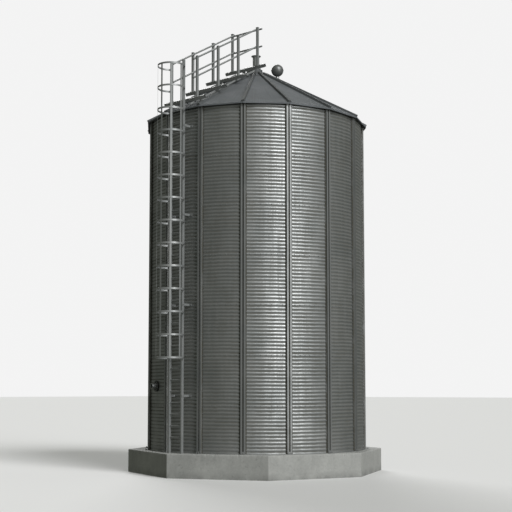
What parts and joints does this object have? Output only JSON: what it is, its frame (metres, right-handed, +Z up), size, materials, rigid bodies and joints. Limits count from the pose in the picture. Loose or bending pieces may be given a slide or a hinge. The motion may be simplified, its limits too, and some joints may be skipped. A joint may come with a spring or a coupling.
{
  "type": "corrugated steel grain silo on an octagonal concrete base",
  "caption": "Round grain silo of corrugated galvanised steel with upright posts, a ribbed cone roof, a caged ladder, a roof stair and an octagonal concrete base.",
  "frame": {"origin": "centre of the concrete base at ground level, on the silo's axis", "axes": "+Z up; the ladder, its cage and the roof stair stand on the -Y side; +X is to the right when facing the ladder"},
  "size_m": [7.215, 7.4962, 12.6556],
  "materials": {
    "concrete": "cast concrete, matte, speckled and stained",
    "wall_sheet": "weathered dark galvanised corrugated sheet, satin, with dirt in the troughs",
    "post_steel": "rolled galvanised steel, satin",
    "structure_steel": "thick galvanised steel, matte, dusty at the foot",
    "roof_sheet": "dark grey galvanised sheet, matte",
    "roof_rib_steel": "folded galvanised steel, satin",
    "spout_steel": "galvanised tube, satin, streaked",
    "vent_steel": "dark galvanised spun steel, satin",
    "ladder_steel": "dull galvanised flat bar and tube",
    "stair_steel": "dull galvanised folded steel and tube",
    "port_rubber": "black sealing ring, matte"
  },
  "bodies": {
    "root": {"anchor_shoes": "structure_steel", "base_ring": "structure_steel", "cage_hoops_front": "ladder_steel", "cage_hoops_left": "ladder_steel", "cage_hoops_right": "ladder_steel", "cage_strips": "ladder_steel", "concrete_base": "concrete", "end_rails": "stair_steel", "filling_spout": "spout_steel", "handrail_posts": "stair_steel", "handrails_left": "stair_steel", "handrails_right": "stair_steel", "ladder_brackets": "ladder_steel", "ladder_rails": "ladder_steel", "ladder_rungs": "ladder_steel", "lifting_lugs": "structure_steel", "peak_cap": "roof_rib_steel", "port_flange": "port_rubber", "port_tube": "spout_steel", "roof_back_left": "roof_sheet", "roof_back_right": "roof_sheet", "roof_front_left": "roof_sheet", "roof_front_right": "roof_sheet", "roof_ribs": "roof_rib_steel", "stair_bearers": "stair_steel", "stair_stringers": "stair_steel", "stair_treads": "stair_steel", "stiffener_posts": "post_steel", "vent_ball": "vent_steel", "vent_base": "vent_steel", "vent_legs": "vent_steel", "wall_panel_01": "wall_sheet", "wall_panel_02": "wall_sheet", "wall_panel_03": "wall_sheet", "wall_panel_04": "wall_sheet", "wall_panel_05": "wall_sheet", "wall_panel_06": "wall_sheet", "wall_panel_07": "wall_sheet", "wall_panel_08": "wall_sheet", "wall_panel_09": "wall_sheet", "wall_panel_10": "wall_sheet", "wall_panel_11": "wall_sheet", "wall_panel_12": "wall_sheet", "wall_panel_13": "wall_sheet", "wall_panel_14": "wall_sheet", "wall_panel_15": "wall_sheet", "wall_panel_16": "wall_sheet"}
  },
  "joints": []
}
